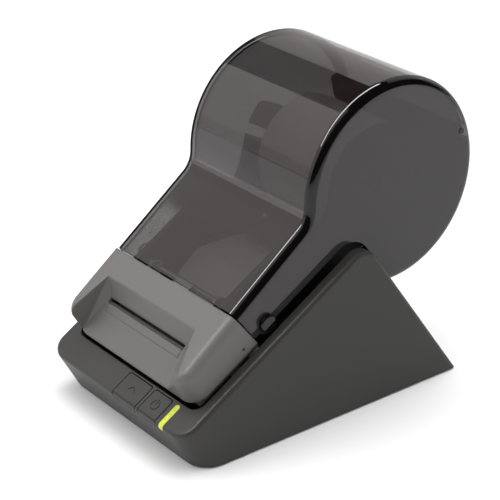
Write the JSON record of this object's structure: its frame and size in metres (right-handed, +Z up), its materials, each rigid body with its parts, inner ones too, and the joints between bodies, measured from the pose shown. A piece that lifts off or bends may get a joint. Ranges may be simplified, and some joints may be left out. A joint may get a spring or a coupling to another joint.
{
  "type": "thermal_label_printer",
  "caption": "Desktop thermal label printer: wedge base with sloping deck, grey front bezel with label slot, and a smoked hinged cover over a drum-shaped roll bay.",
  "frame": {"origin": "centre of the bounding box on the table plane", "axes": "+X to the printer's left-to-right as seen from the front, +Y from the label slot towards the hinge, +Z up"},
  "size_m": [0.1102, 0.1776, 0.1565],
  "materials": {
    "base_plastic": "satin fine grain",
    "bezel_plastic": "satin warm grey",
    "button_plastic": "satin, engraved symbols",
    "smoked_plastic": "smoked translucent gloss",
    "frame_plastic": "matte black",
    "spool_plastic": "satin dark grey",
    "gear_plastic": "natural white",
    "foot_rubber": "matte",
    "platen_rubber": "ground matte",
    "screw_steel": "plated",
    "bracket_steel": "zinc plated sheet",
    "bushing_brass": "turned",
    "head_ceramic": "glazed",
    "label_paper": "smooth coated",
    "core_card": "wound card",
    "board_green": "solder mask",
    "socket_black": "moulded",
    "pipe_lime": "lit translucent",
    "led_white": "clear resin"
  },
  "bodies": {
    "stand": {"base_shell": "base_plastic", "base_plate": "base_plastic", "front_bezel": "bezel_plastic", "tear_bar": "bezel_plastic", "left_frame": "frame_plastic", "right_frame": "frame_plastic", "rear_cradle": "frame_plastic", "paper_chute": "frame_plastic", "label_guides": "frame_plastic", "label_sensor": "frame_plastic", "cover_pins": "frame_plastic", "rubber_feet": "foot_rubber", "plate_screws": "screw_steel", "frame_screws": "screw_steel", "motor_screws": "screw_steel", "board_screws": "screw_steel", "idler_pin": "screw_steel", "head_pivot_pin": "screw_steel", "usb_socket": "screw_steel", "head_spring": "bracket_steel", "stepper_motor": "bracket_steel", "platen_bushings": "bushing_brass", "label_web": "label_paper", "main_board": "board_green", "switch_board": "board_green", "dc_inlet": "socket_black", "tact_switches": "socket_black", "light_pipe": "pipe_lime", "status_led": "led_white"},
    "cover": {"smoke_cover": "smoked_plastic"},
    "spool": {"spool_axle": "spool_plastic", "spool_left_flange": "spool_plastic", "spool_right_flange": "spool_plastic", "label_core": "core_card", "label_roll": "label_paper"},
    "platen": {"platen_shaft": "screw_steel", "platen_roller": "platen_rubber", "platen_gear": "gear_plastic"},
    "idler": {"idler_gear": "gear_plastic"},
    "pinion": {"motor_pinion": "bushing_brass"},
    "head": {"thermal_head": "head_ceramic", "head_bracket": "bracket_steel"},
    "feed": {"feed_button": "button_plastic"},
    "power": {"power_button": "button_plastic"}
  },
  "joints": [
    {"name": "cover_hinge", "type": "hinge", "parent": "stand", "child": "cover", "pos_m": [0, 0.08036, 0.12177], "axis": [-1, 0, 0], "range_deg": [0, 95]},
    {"name": "spool_spin", "type": "hinge", "parent": "stand", "child": "spool", "pos_m": [0, 0.04955, 0.09535], "axis": [1, 0, 0], "continuous": true},
    {"name": "platen_spin", "type": "hinge", "parent": "stand", "child": "platen", "pos_m": [0, -0.05715, 0.04053], "axis": [1, 0, 0], "continuous": true},
    {"name": "idler_spin", "type": "hinge", "parent": "stand", "child": "idler", "pos_m": [0, -0.0415, 0.0372], "axis": [1, 0, 0], "continuous": true},
    {"name": "pinion_spin", "type": "hinge", "parent": "stand", "child": "pinion", "pos_m": [0, -0.03, 0.03159], "axis": [1, 0, 0], "continuous": true},
    {"name": "head_pivot", "type": "hinge", "parent": "stand", "child": "head", "pos_m": [0, -0.04315, 0.06053], "axis": [-1, 0, 0], "range_deg": [0, 2.5], "stiffness_Nm_per_rad": 0.6},
    {"name": "feed_press", "type": "slide", "parent": "stand", "child": "feed", "axis": [0, 0.518, -0.8554], "range_m": [0, 0.0005], "stiffness_N_per_m": 900},
    {"name": "power_press", "type": "slide", "parent": "stand", "child": "power", "axis": [0, 0.518, -0.8554], "range_m": [0, 0.0005], "stiffness_N_per_m": 900}
  ],
  "couplings": [
    {"joint": "idler_spin", "follows": "platen_spin", "ratio": -0.81818},
    {"joint": "pinion_spin", "follows": "platen_spin", "ratio": 1.8}
  ]
}
